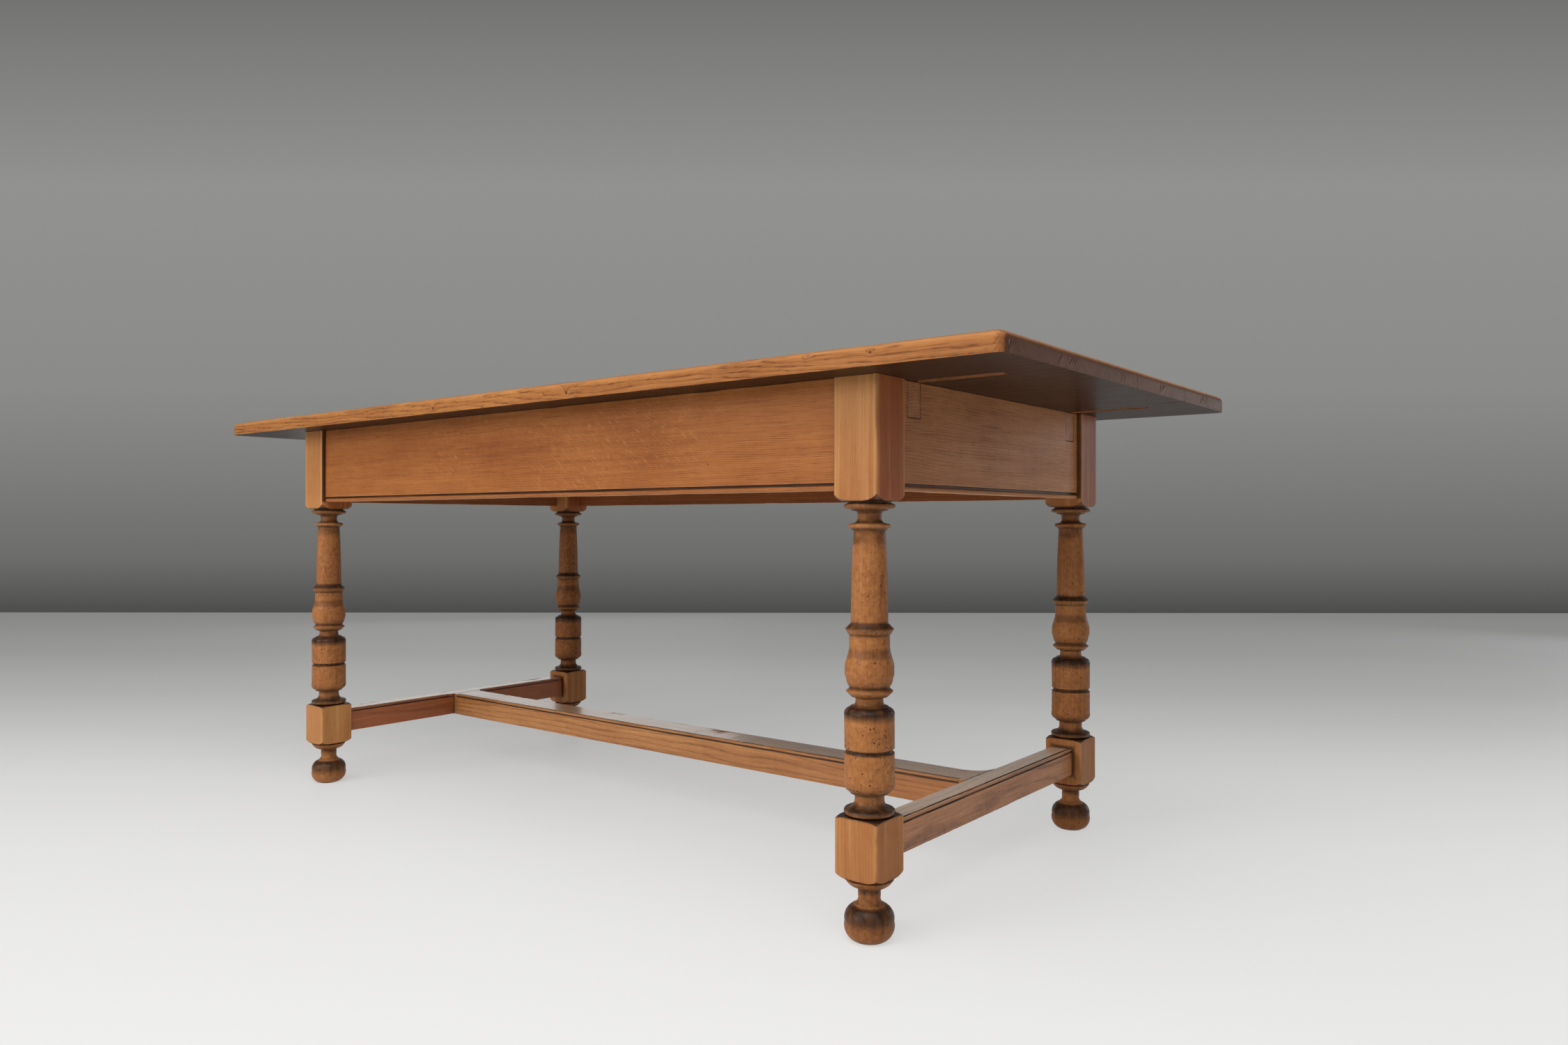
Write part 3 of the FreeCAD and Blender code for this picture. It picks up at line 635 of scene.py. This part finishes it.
def stretcherOak(name, grain, box, reach, look):
    oak = Oak(name, grain, (0, 0.12, 0.02), {**stretcherLook, **look})
    lengthways = grain == "X"
    along = (oak.x if lengthways else oak.y).size()
    rightEdge = oak.x.rise(-0.01, 0.01) * (box[1].x + box[0].x) - box[0].x
    inward = oak.y - box[0].y if lengthways else rightEdge - oak.x
    down = box[1].z - oak.z
    ring = inward.most(down)
    beadEnd = stretcherBead["width"]
    groove = ring.band(beadEnd + 0.0001, beadEnd + stretcherBead["quirk"], 0.0003)
    groove = groove * (reach - along).rise(stretcherBead["stop"] - 0.001, stretcherBead["stop"])
    bead = ring.fall(beadEnd - 0.0006, beadEnd)
    over = oak.facing[2].rise(0.75, 0.95) * down.fall(0.0004, 0.001)
    # painted shade in the quirk beside the bead and in the corners at the legs, with dark wax
    waxAndPaintedShade = (groove * 0.93 + cornerShade(reach - along) * 0.85).least(1.0)
    # the top and its bead are paler: wear, and a painted highlight on the bead
    wearAndHighlight = (over * 0.35 + bead * over * 0.5).least(1.0)
    if lengthways:
        rightward = oak.x.rise(0.1, 0.6)
        lessSheen = oak.x.near(0.33, 0.30)
        coats = [
            # painted sheen on the top of the centre stretcher, less of it round x = 0.33
            (over * (0.6 - lessSheen * 0.4), oak.look["sheen"]),
            ((1 - over) * rightward * 0.4, oak.look["deep"]),
        ]
    else:
        # a scratch on right-hand faces, and on the right stretcher a crack and wax at the back leg
        uneven = oak.noise((40, 40, 40), 2.0, place=oak.place)
        sway = uneven - 0.5
        rightOnly = oak.x.rise(-0.1, 0.1)
        climb = (oak.y + railMarks["scratchFrom"]) * railMarks["scratchSlope"]
        scratch = (oak.z - climb + sway * 0.0012).near(railMarks["scratchHeight"], railMarks["scratchWidth"])
        scratch = scratch * oak.y.fall(-0.03, 0.06) * oak.facing[0].rise(0.7, 0.9) * uneven.rise(0.30, 0.50)
        drift = (oak.y - railMarks["crackFrom"]) * railMarks["crackSlope"]
        crack = (oak.x + drift + sway * 0.008).near(railMarks["crackAcross"], railMarks["crackWidth"])
        crack = crack * oak.y.band(*railMarks["crackLength"], 0.008) * over * rightOnly
        smudge = (reach - oak.y).fall(0.001, uneven * railMarks["smudge"]) * over * rightOnly
        waxAndPaintedShade = (waxAndPaintedShade + crack * 0.7 + smudge * 0.7).least(1.0)
        coats = [
            # painted sheen on the tops of the end stretchers
            (over * 0.8, oak.look["sheen"]),
            ((1 - over) * oak.x.fall(-0.01, 0.01) * 0.75, oak.look["deep"]),
            (scratch * 0.45, oak.look["wearAndHighlight"]),
        ]
    return oak.finish(waxAndPaintedShade, wearAndHighlight, coats, slope=0.0012, shine=over * 0.14, coat=over * (1 - waxAndPaintedShade))


loperLook = {
    "pale": srgb(214, 172, 124),
    "tan": srgb(192, 148, 102),
    "end": srgb(152, 92, 50),
}


def loperOak():
    oak = Oak("loperOak", "X", (0.4, 0.21, 0.08), loperLook)
    endward = oak.facing[0].size()
    rim = loperEdge(oak).rise(-0.0014, -0.0004) * endward.rise(0.3, 0.6)
    return oak.finish(rim * 0.5, 0.0, [(endward.rise(0.75, 0.95) * 0.8, oak.look["end"])])


def plainOak(name, grain, look):
    return Oak(name, grain, (0.4, 0.21, 0.08), look).finish(0.0, 0.0)


screwLook = {"dark": srgb(96, 92, 88), "bright": srgb(150, 146, 140), "scale": 700.0, "roughness": 0.3}


def screwSteel():
    material, tree = newMaterial("screwSteel")
    place = addNode(tree, "TexCoord", {}, {}, "Object")
    pattern = {"Vector": place, "Scale": screwLook["scale"], "Detail": 3.0}
    mottle = addNode(tree, "TexNoise", {}, pattern, "Fac")
    tone = mottle.ramp([(0.3, screwLook["dark"]), (0.7, screwLook["bright"])])
    values = {"Base Color": tone, "Metallic": 1.0, "Roughness": screwLook["roughness"] + mottle * 0.3}
    toSurface(addNode(tree, "BsdfPrincipled", {}, values))
    return material


# knots of the front apron, one of the back apron, and the tones of the other aprons and stretchers
frontKnots = [
    ((-0.067, -0.350, 0.682), 0.0022),
    ((-0.449, -0.350, 0.710), 0.0026),
    ((0.42, -0.350, 0.628), 0.0020),
    ((0.21, 0.350, 0.664), 0.0040),
]
endTone = {
    "pale": srgb(186, 128, 82),
    "tan": srgb(162, 104, 62),
    "brown": srgb(112, 68, 40),
    "ringDepth": 0.26,
    "ringWidth": 0.0036,
    "sway": 0.05,
}
beamTone = {
    "pale": srgb(200, 141, 83),
    "tan": srgb(168, 109, 58),
    "brown": srgb(108, 60, 28),
    "gloss": 0.5,
}
railTone = {
    "pale": srgb(202, 146, 98),
    "tan": srgb(176, 117, 75),
    "brown": srgb(122, 74, 44),
    "ringDepth": 0.30,
    "gloss": 0.5,
    # the pale colour of the painted sheen on the end stretchers' tops
    "sheen": srgb(232, 204, 180),
    "deep": srgb(157, 80, 38),
}
bearerTone = {"tan": srgb(120, 78, 46), "brown": srgb(84, 50, 30)}
pegTone = {"tan": srgb(160, 112, 70)}

paints = {
    "top": topOak(),
    "leg": legOak(),
    "sideApron": apronOak("sideApronOak", "X", sideApron, legLow.x, {}, frontKnots),
    "endApron": apronOak("endApronOak", "Y", endApron, legLow.y, endTone),
    "centreStretcher": stretcherOak("centreStretcherOak", "X", centreStretcher, endStretcher[0].x, beamTone),
    "endStretcher": stretcherOak("endStretcherOak", "Y", endStretcher, legLow.y, railTone),
    "loper": loperOak(),
    "bearer": plainOak("bearerOak", "Y", bearerTone),
    "peg": plainOak("pegOak", "Z", pegTone),
    "steel": screwSteel(),
}
print("finishes made")


# Wooden pieces: the frame's shapes with eased, worn and dented arrises

sharpAngle = math.radians(34)
# a corner this close to the top's end lies on it
onEnd = 0.00002


def mergedCopy(node):
    mesh = bmesh.new()
    mesh.from_mesh(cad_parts[node].data)
    bmesh.ops.remove_doubles(mesh, verts=mesh.verts, dist=0.000001)
    bmesh.ops.dissolve_limit(mesh, angle_limit=math.radians(0.2), verts=mesh.verts, edges=mesh.edges)
    return mesh


def cutAcross(mesh, faces, place, direction):
    # cuts these faces with a plane and gives back the faces that they become
    edges = {edge for face in faces for edge in face.edges}
    verts = {vertex for face in faces for vertex in face.verts}
    everything = list(verts) + list(edges) + list(faces)
    made = bmesh.ops.bisect_plane(mesh, geom=everything, dist=0.000005, plane_co=place, plane_no=direction)
    return [item for item in made["geom"] if isinstance(item, bmesh.types.BMFace)]


def reachOf(face, axis):
    places = [vertex.co[axis] for vertex in face.verts]
    return min(places), max(places), face


def sliced(mesh, axis, step, low, high):
    count = max(int((high - low) / step), 1)
    direction = Vector((0, 0, 0))
    direction[axis] = 1
    ahead = [reach for reach in (reachOf(face, axis) for face in mesh.faces) if reach[0] < high]
    for cut in range(count + 1):
        place = low + (high - low) * cut / count
        crossed = [face for start, end, face in ahead if start < place < end]
        ahead = [reach for reach in ahead if reach[0] >= place]
        ahead += [reachOf(face, axis) for face in cutAcross(mesh, crossed, direction * place, direction)]


def easeArrises(mesh, width, least):
    arrises = [edge for edge in mesh.edges if edge.is_manifold and edge.calc_face_angle_signed(0) > least]
    bmesh.ops.bevel(mesh, geom=arrises, offset=width, offset_type="OFFSET", segments=3, profile=0.5,
                    affect="EDGES", clamp_overlap=True, material=-1)


def dented(mesh, values):
    # knocks and wear along the arrises, none on the flats
    mesh.normal_update()
    for vertex in mesh.verts:
        bent = len({tuple(round(part, 1) for part in face.normal) for face in vertex.link_faces}) > 1
        if bent:
            broad = noise.noise(vertex.co * values["broadScale"]) - values["broadLeast"]
            small = noise.noise(vertex.co * values["smallScale"] + Vector((7, 3, 1))) - values["smallLeast"]
            depth = max(broad, 0) * values["broadDepth"] + max(small, 0) * values["smallDepth"]
            vertex.co -= vertex.normal * depth


def finishedPiece(mesh, name):
    data = bpy.data.meshes.new(name)
    mesh.to_mesh(data)
    mesh.free()
    data.shade_smooth()
    data.set_sharp_from_angle(angle=sharpAngle)
    piece = bpy.data.objects.new(name, data)
    bpy.context.scene.collection.objects.link(piece)
    weighted = piece.modifiers.new("evenShading", "WEIGHTED_NORMAL")
    weighted.keep_sharp = True
    return piece


def placePiece(piece, node, paint, body="table"):
    piece.data.materials.append(paints[paint])
    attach(piece, body)
    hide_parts(node)


plank = {
    "ease": 0.0008,
    "arrisAngle": math.radians(35),
    "step": 0.008,
    "broadScale": 18.0,
    "broadLeast": 0.10,
    "broadDepth": 0.0012,
    "smallScale": 90.0,
    "smallLeast": 0.25,
    "smallDepth": 0.0012,
}


def plankPiece(node, name, axis, values):
    mesh = mergedCopy(node)
    easeArrises(mesh, values["ease"], values["arrisAngle"])
    low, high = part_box(node)
    sliced(mesh, axis, values["step"], low[axis] + values["step"], high[axis] - values["step"])
    dented(mesh, values)
    return finishedPiece(mesh, name)


endSplits = {
    "reach": 0.006,
    "spots": [(-0.394, 5), (-0.236, 7), (-0.055, 3), (0.112, 4), (0.305, 5)],
    "gap": 0.0078,
    "gapSpread": (0.85, 1.15),
    "heightSpread": (-0.004, 0.005),
    "slant": 50.0,
    "slantSpread": (-9, 9),
    "length": 0.020,
    "lengthSpread": (0.35, 0.5),
    "halfWidth": 0.0006,
    "depth": 0.0028,
    "ease": 0.6,
    "plainEnd": 0.02,
}


def endFaces(mesh, end):
    return [face for face in mesh.faces if all(abs(vertex.co.x - end) < onEnd for vertex in face.verts)]


def splitEnd(mesh, side, board, values):
    # short drying splits, as shallow grooves across the growth rings of the end grain
    end = side * slabHigh.x
    middle = (slabLow.z + slabHigh.z) / 2
    chance = random.Random(int(board * 2 + side))
    low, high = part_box("top_board_" + str(board))
    crossways = Vector((1, 0, 0))
    cutAcross(mesh, mesh.faces[:], crossways * (end - side * values["reach"]), crossways)
    for spot, count in values["spots"]:
        for stroke in range(count):
            across = spot + (stroke - count / 2) * values["gap"] * chance.uniform(*values["gapSpread"])
            centre = Vector((end, across, middle + chance.uniform(*values["heightSpread"])))
            slant = math.radians(values["slant"] + chance.uniform(*values["slantSpread"])) * side
            half = values["length"] * chance.uniform(*values["lengthSpread"])
            if not low.y + half < across < high.y - half:
                continue
            line = Vector((0, math.cos(slant), math.sin(slant)))
            away = Vector((0, -math.sin(slant), math.cos(slant)))
            for step in (-values["halfWidth"], 0, values["halfWidth"]):
                cap = endFaces(mesh, end)
                cutAcross(mesh, cap, centre + away * step, away)
            for part in (-1, -0.5, 0, 0.5, 1):
                cap = [face for face in endFaces(mesh, end)
                       if abs((face.calc_center_median() - centre).dot(away)) < values["halfWidth"] * 1.01]
                cutAcross(mesh, cap, centre + line * half * part, line)
            for vertex in mesh.verts:
                offset = vertex.co - centre
                along = abs(offset.dot(line)) / half
                if abs(offset.x) < onEnd and abs(offset.dot(away)) < 0.00005 and along < 0.98:
                    vertex.co.x -= side * values["depth"] * (1 - along * along)


for number in range(1, 5):
    node = "top_board_" + str(number)
    mesh = mergedCopy(node)
    easeArrises(mesh, plank["ease"] * endSplits["ease"], plank["arrisAngle"])
    for side in (-1, 1):
        splitEnd(mesh, side, number, endSplits)
    low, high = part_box(node)
    sliced(mesh, 0, plank["step"], low.x + endSplits["plainEnd"], high.x - endSplits["plainEnd"])
    dented(mesh, plank)
    placePiece(finishedPiece(mesh, "topBoard" + str(number)), node, "top")
print("top boards made")

for side in ("front", "back"):
    node = "apron_" + side
    placePiece(plankPiece(node, side + "Apron", 0, plank), node, "sideApron")
for end in ("left", "right"):
    placePiece(plankPiece("apron_" + end, end + "Apron", 1, plank), "apron_" + end, "endApron")
    placePiece(plankPiece("stretcher_" + end, end + "Stretcher", 1, plank), "stretcher_" + end,
               "endStretcher")
placePiece(plankPiece("stretcher_centre", "centreStretcher", 0, plank), "stretcher_centre",
           "centreStretcher")
print("aprons and stretchers made")


turning = {
    "ease": 0.0005,
    "arrisAngle": math.radians(28),
    "blocks": [(0.090, 0.156), (0.592, 0.728)],
    "step": 0.007,
    "broadScale": 24.0,
    "broadLeast": 0.10,
    "broadDepth": 0.0010,
    "smallScale": 110.0,
    "smallLeast": 0.25,
    "smallDepth": 0.0010,
}


loperEase = 0.0004


def turnedLeg(node, name):
    mesh = mergedCopy(node)
    easeArrises(mesh, turning["ease"], turning["arrisAngle"])
    for low, high in turning["blocks"]:
        sliced(mesh, 2, turning["step"], low, high)
    dented(mesh, turning)
    return finishedPiece(mesh, name)


for side in ("front", "back"):
    for end in ("left", "right"):
        corner = side + "_" + end
        placePiece(turnedLeg("leg_" + corner, side + end.title() + "Leg"), "leg_" + corner, "leg")
        body = "loper_" + corner + "_body"
        loper = plankPiece("loper_" + corner, side + end.title() + "Loper", 0, {**plank, "ease": loperEase})
        placePiece(loper, "loper_" + corner, "loper", body)
print("legs and lopers made")

hiddenPaints = {"bearer_": "bearer", "top_buttons": "bearer", "top_tongues": "peg", "stop_peg": "peg",
                "button_screws": "steel", "bearer_screws": "steel"}
for node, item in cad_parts.items():
    for start, paint in hiddenPaints.items():
        if node.startswith(start):
            item.data.materials.clear()
            item.data.materials.append(paints[paint])


# Floor, backdrop, light and camera

view = {
    "place": (1.4496, -1.4776, 0.5447),
    "yaw": math.radians(38.2745),
    "pitch": math.radians(-0.015),
    "roll": math.radians(0.032),
    "lens": 24.2925,
}

stage = {
    "floorColour": srgb(232, 232, 231),
    "floorRoughness": 0.5,
    "floorGloss": 0.25,
    "floorFlat": 0.68,
    "floorDepth": 8.0,
    # painted light: how the floor's tone falls off with distance from the camera
    "floorFalloff": [(0.125, srgb(240, 240, 239)), (0.22, srgb(230, 230, 229)), (0.28, srgb(217, 217, 216)),
                   (0.35, srgb(192, 192, 191)), (0.42, srgb(171, 171, 170)), (0.55, srgb(150, 150, 149)),
                   (0.80, srgb(137, 137, 136))],
    "floorRadius": 30.0,
    "wallAway": 6.36,
    "wallWidth": 24.0,
    "wallHeight": 8.0,
    # painted light on the backdrop, darker at its foot and top
    "wallLightBands": [(0.0, srgb(76, 76, 75)), (0.04, srgb(108, 108, 106)), (0.10, srgb(124, 124, 122)),
                  (0.17, srgb(139, 139, 137)), (0.32, srgb(146, 146, 144)), (0.47, srgb(113, 113, 111)),
                  (1.0, srgb(104, 104, 102))],
    "skyTones": [(0.0, srgb(96, 96, 94)), (0.12, srgb(132, 132, 130)), (0.35, srgb(143, 143, 141)),
                 (0.8, srgb(120, 120, 118))],
    "worldLevel": 0.28,
}


def placed(name, mesh, material):
    data = bpy.data.meshes.new(name)
    mesh.to_mesh(data)
    mesh.free()
    data.materials.append(material)
    item = bpy.data.objects.new(name, data)
    bpy.context.scene.collection.objects.link(item)


def seenDirectly(tree):
    # 1 for what the camera and gloss see, 0 for what lights the table
    paths = tree.nodes.new("ShaderNodeLightPath")
    return Wire(tree, paths.outputs["Is Camera Ray"]).most(Wire(tree, paths.outputs["Is Glossy Ray"]))


def makeFloor():
    mesh = bmesh.new()
    bmesh.ops.create_circle(mesh, cap_ends=True, segments=96, radius=stage["floorRadius"])
    material, tree = newMaterial("paleFloor")
    floor = {"Base Color": colour(stage["floorColour"]), "Roughness": stage["floorRoughness"],
             "Specular IOR Level": stage["floorGloss"]}
    lit = addNode(tree, "BsdfPrincipled", {}, floor)
    place = addNode(tree, "TexCoord", {}, {}, "Object")
    ahead = (-math.sin(view["yaw"]), math.cos(view["yaw"]), 0)
    start = sum(part * other for part, other in zip(ahead, view["place"]))
    depth = addNode(tree, "VectorMath", {"operation": "DOT_PRODUCT"}, {0: place, 1: ahead}, "Value") - start
    # painted light: for the camera and gloss the floor glows with a tone that falls off with distance
    shownLight = addNode(tree, "Emission", {}, {"Color": (depth / stage["floorDepth"]).ramp(stage["floorFalloff"])})
    toSurface(addNode(tree, "MixShader", {}, {0: seenDirectly(tree) * stage["floorFlat"], 1: lit, 2: shownLight}))
    placed("floor", mesh, material)


def makeBackdrop():
    mesh = bmesh.new()
    bmesh.ops.create_grid(mesh, x_segments=1, y_segments=1, size=0.5)
    stretched = Matrix.Diagonal((stage["wallWidth"], stage["wallHeight"], 1, 1))
    upright = Matrix.Rotation(math.pi / 2, 4, "X") @ stretched
    turned = Matrix.Rotation(view["yaw"], 4, "Z")
    away = turned @ Vector((0, stage["wallAway"], 0)) + Vector(view["place"])
    away.z = stage["wallHeight"] / 2
    bmesh.ops.transform(mesh, matrix=Matrix.Translation(away) @ turned @ upright, verts=mesh.verts)
    material, tree = newMaterial("greyBackdrop")
    place = addNode(tree, "TexCoord", {}, {}, "Object")
    height = addNode(tree, "SeparateXYZ", {}, {0: place}, "Z") / stage["wallHeight"]
    # painted light: the backdrop's tone, darkest at its foot, lightest about a third of the way up
    shownLight = addNode(tree, "Emission", {}, {"Color": height.ramp(stage["wallLightBands"])})
    clear = addNode(tree, "BsdfTransparent", {}, {})
    behind = addNode(tree, "NewGeometry", {}, {}, "Backfacing")
    toSurface(addNode(tree, "MixShader", {}, {0: seenDirectly(tree) * (1 - behind), 1: clear, 2: shownLight}))
    placed("backdrop", mesh, material)


def makeWorld():
    world = bpy.data.worlds.new("studio")
    world.use_nodes = True
    bpy.context.scene.world = world
    tree = world.node_tree
    tree.nodes.clear()
    direction = addNode(tree, "TexCoord", {}, {}, "Generated")
    wall = addNode(tree, "SeparateXYZ", {}, {0: direction}, "Z").ramp(stage["skyTones"])
    light = addNode(tree, "Background", {}, {"Strength": stage["worldLevel"]})
    shownLight = addNode(tree, "Background", {}, {"Color": wall, "Strength": 1.0})
    shader = addNode(tree, "MixShader", {}, {0: seenDirectly(tree), 1: light, 2: shownLight})
    toSurface(shader, "ShaderNodeOutputWorld")


softLights = {
    "keyLight": {"place": (-1.5, -4.7, 2.2), "aim": (0, 0, 0.35), "width": 3.0, "height": 2.2,
                 "power": 124.0, "tint": (1.0, 0.97, 0.93)},
    "topLight": {"place": (0.95, -1.5, 3.0), "aim": (0.55, -0.75, 0), "width": 2.8, "height": 2.8,
                 "power": 84.0, "tint": (1.0, 1.0, 1.0)},
    "sideLight": {"place": (1.9, 4.6, 1.0), "aim": (0.6, 0, 0.5), "width": 1.2, "height": 1.2,
                  "power": 12.0, "tint": (0.94, 0.97, 1.0)},
    "fillLight": {"place": (4.2, -1.9, 1.3), "aim": (0.5, 0, 0.4), "width": 1.6, "height": 1.6,
                  "power": 9.0, "tint": (1.0, 0.98, 0.95)},
    "backLight": {"place": (-3.4, 2.3, 0.75), "aim": (-0.5, 0.1, 0.4), "width": 2.4, "height": 0.9,
                  "power": 4.0, "tint": (1.0, 1.0, 1.0)},
}


def makeLights():
    for name, values in softLights.items():
        data = bpy.data.lights.new(name, "AREA")
        data.shape = "RECTANGLE"
        data.size = values["width"]
        data.size_y = values["height"]
        data.energy = values["power"]
        data.color = values["tint"]
        lamp = bpy.data.objects.new(name, data)
        lamp.visible_camera = False
        bpy.context.scene.collection.objects.link(lamp)
        place = Vector(values["place"])
        aim = Vector(values["aim"]) - place
        lamp.matrix_world = Matrix.Translation(place) @ aim.to_track_quat("-Z", "Y").to_matrix().to_4x4()


def makeCamera():
    data = bpy.data.cameras.new("camera")
    data.sensor_fit = "HORIZONTAL"
    data.sensor_width = 36.0
    data.lens = view["lens"]
    camera = bpy.data.objects.new("camera", data)
    bpy.context.scene.collection.objects.link(camera)
    yaw = Matrix.Rotation(view["yaw"], 4, "Z")
    level = Matrix.Rotation(math.pi / 2 + view["pitch"], 4, "X")
    roll = Matrix.Rotation(view["roll"], 4, "Z")
    camera.matrix_world = Matrix.Translation(view["place"]) @ yaw @ level @ roll
    bpy.context.scene.camera = camera


makeFloor()
makeBackdrop()
makeWorld()
makeLights()
makeCamera()
bpy.context.scene.view_settings.view_transform = "Standard"
print("stage set")
